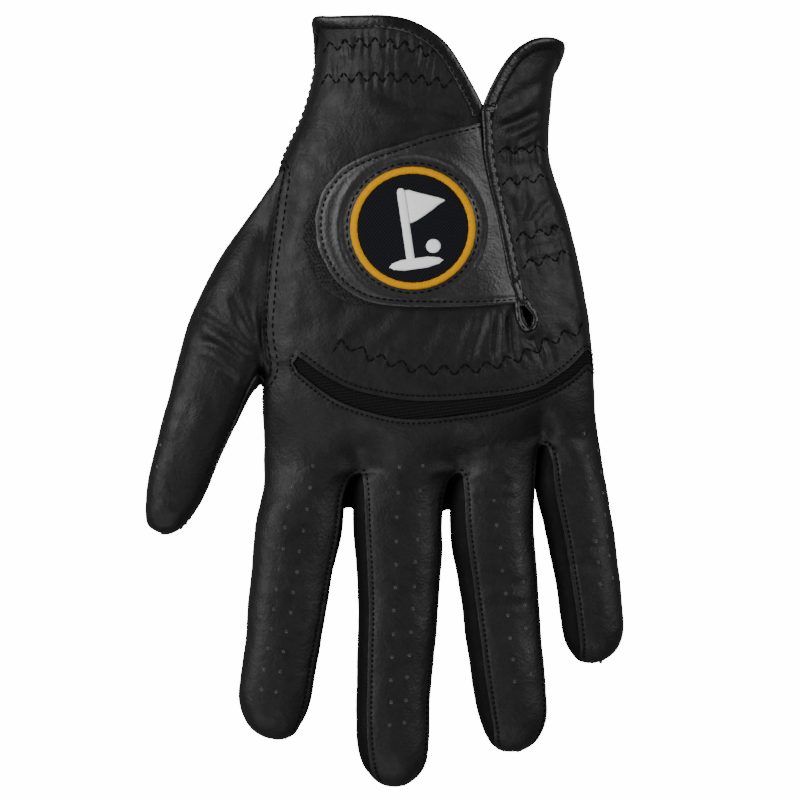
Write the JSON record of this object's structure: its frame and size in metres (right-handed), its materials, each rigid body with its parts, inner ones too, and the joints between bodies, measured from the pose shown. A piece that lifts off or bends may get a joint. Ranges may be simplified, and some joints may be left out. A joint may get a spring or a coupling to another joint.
{
  "type": "golf glove",
  "caption": "Left-hand leather golf glove with hinged fingers, thumb and wrist closure tab, open at the cuff and hollow inside.",
  "frame": {"origin": "on the flat underside of the palm panel, under the middle of the hand", "axes": "+Y from the fingertips to the cuff, +Z out of the back of the hand, the thumb towards -X; the glove lies palm down"},
  "size_m": [0.1456, 0.2381, 0.0432],
  "materials": {
    "leather": "black cabretta leather with fine grain, soft sheen",
    "binding": "black rolled leather edge",
    "lining": "matt flesh side of the tab leather",
    "knit": "black stretch knit",
    "elastic": "woven black elastic",
    "loop": "black brushed loop pile",
    "hook": "black hook tape",
    "twill": "dark navy embroidered twill",
    "gold_thread": "golden yellow satin stitch",
    "white_thread": "white satin stitch"
  },
  "bodies": {
    "hand": {"back_panel": "leather", "cuff_binding_outer_side": "binding", "cuff_binding_palm": "binding", "cuff_binding_thumb_side": "binding", "cuff_elastic_lower": "elastic", "cuff_elastic_upper": "elastic", "knuckle_elastic": "elastic", "knuckle_insert": "knit", "loop_pad": "loop", "outer_elastic_lower": "elastic", "outer_elastic_upper": "elastic", "palm_panel": "leather", "slit_binding": "binding", "slit_end_loop": "binding", "thumb_back_base": "leather", "thumb_palm_base": "leather"},
    "closure_tab": {"tab_leather": "leather", "tab_lining": "lining", "hook_pad": "hook", "patch_base": "twill", "patch_ring": "gold_thread", "patch_motif": "white_thread"},
    "knuckles": {"finger_backs_lower": "leather", "finger_palms_lower": "leather", "fourchette_index_middle": "leather", "fourchette_middle_ring": "leather", "fourchette_ring_little": "leather"},
    "index_tip": {"index_back": "leather", "index_palm": "leather", "index_side_to_middle": "leather"},
    "middle_tip": {"middle_back": "leather", "middle_palm": "leather", "middle_side_to_index": "leather", "middle_side_to_ring": "leather"},
    "ring_tip": {"ring_back": "leather", "ring_palm": "leather", "ring_side_to_middle": "leather", "ring_side_to_little": "leather"},
    "little_tip": {"little_back": "leather", "little_palm": "leather", "little_side_to_ring": "leather"},
    "thumb_lower": {"thumb_back_lower": "leather", "thumb_palm_lower": "leather"},
    "thumb_tip": {"thumb_back_tip": "leather", "thumb_palm_tip": "leather"}
  },
  "joints": [
    {"name": "knuckle_bend", "type": "hinge", "parent": "hand", "child": "knuckles", "pos_m": [0, -0.023, 0], "axis": [1, 0, 0], "range_deg": [0, 80]},
    {"name": "index_bend", "type": "hinge", "parent": "knuckles", "child": "index_tip", "pos_m": [-0.041, -0.077, 0], "axis": [0.9917, -0.1288, 0], "range_deg": [0, 90]},
    {"name": "middle_bend", "type": "hinge", "parent": "knuckles", "child": "middle_tip", "pos_m": [-0.0083, -0.08, 0], "axis": [0.9995, -0.0314, 0], "range_deg": [0, 90]},
    {"name": "ring_bend", "type": "hinge", "parent": "knuckles", "child": "ring_tip", "pos_m": [0.0226, -0.077, 0], "axis": [0.9952, 0.0976, 0], "range_deg": [0, 90]},
    {"name": "little_bend", "type": "hinge", "parent": "knuckles", "child": "little_tip", "pos_m": [0.0476, -0.062, 0], "axis": [0.9888, 0.1495, 0], "range_deg": [0, 90]},
    {"name": "thumb_base_bend", "type": "hinge", "parent": "hand", "child": "thumb_lower", "pos_m": [-0.06315, -0.0104, 0], "axis": [0.7337, -0.6795, 0], "range_deg": [0, 45]},
    {"name": "thumb_tip_bend", "type": "hinge", "parent": "thumb_lower", "child": "thumb_tip", "pos_m": [-0.072, -0.0349, 0], "axis": [0.9555, -0.2948, 0], "range_deg": [0, 75]},
    {"name": "tab_open", "type": "hinge", "parent": "hand", "child": "closure_tab", "pos_m": [0.0213, 0.03472, 0.0378], "axis": [-0.1992, 0.9744, 0.1043], "range_deg": [0, 135]}
  ]
}
